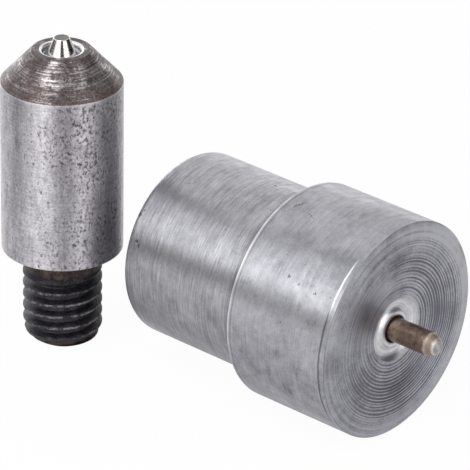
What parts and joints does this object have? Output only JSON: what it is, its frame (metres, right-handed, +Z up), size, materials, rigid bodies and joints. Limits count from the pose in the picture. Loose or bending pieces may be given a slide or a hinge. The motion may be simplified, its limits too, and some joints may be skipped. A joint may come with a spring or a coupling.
{
  "type": "eyelet setting die set",
  "caption": "Press tooling that sets eyelets: a punch with a screw shank and flaring nose, and a stepped die with a spring-loaded centring pin.",
  "frame": {"origin": "middle of the footprint of the standing punch and the lying die, on the surface that both rest on", "axes": "+X along the die's axis, out of its pinned face; +Z up, along the punch's axis towards its nose"},
  "size_m": [0.0484, 0.0242, 0.0321],
  "materials": {
    "turned_steel": "satin, with turning marks",
    "ground_steel": "ground, lightly pitted, with dark oxide on cone and shank",
    "tempered_steel": "satin, tempered brown",
    "spring_steel": "drawn wire",
    "oxide_steel": "black oxide"
  },
  "bodies": {
    "die": {"die_body": "turned_steel", "retaining_plug": "oxide_steel", "pin_spring": "spring_steel"},
    "pin": {"centring_pin": "tempered_steel"},
    "punch": {"punch": "ground_steel"}
  },
  "joints": [
    {"name": "pin_press", "type": "slide", "parent": "die", "child": "pin", "axis": [-1, 0, 0], "range_m": [0, 0.0048], "stiffness_N_per_m": 600, "springref_m": -0.003, "deforming": ["pin_spring"]},
    {"name": "punch_lift", "type": "slide", "parent": "die", "child": "punch", "axis": [0, 0, 1], "range_m": [0, 0.03]}
  ]
}
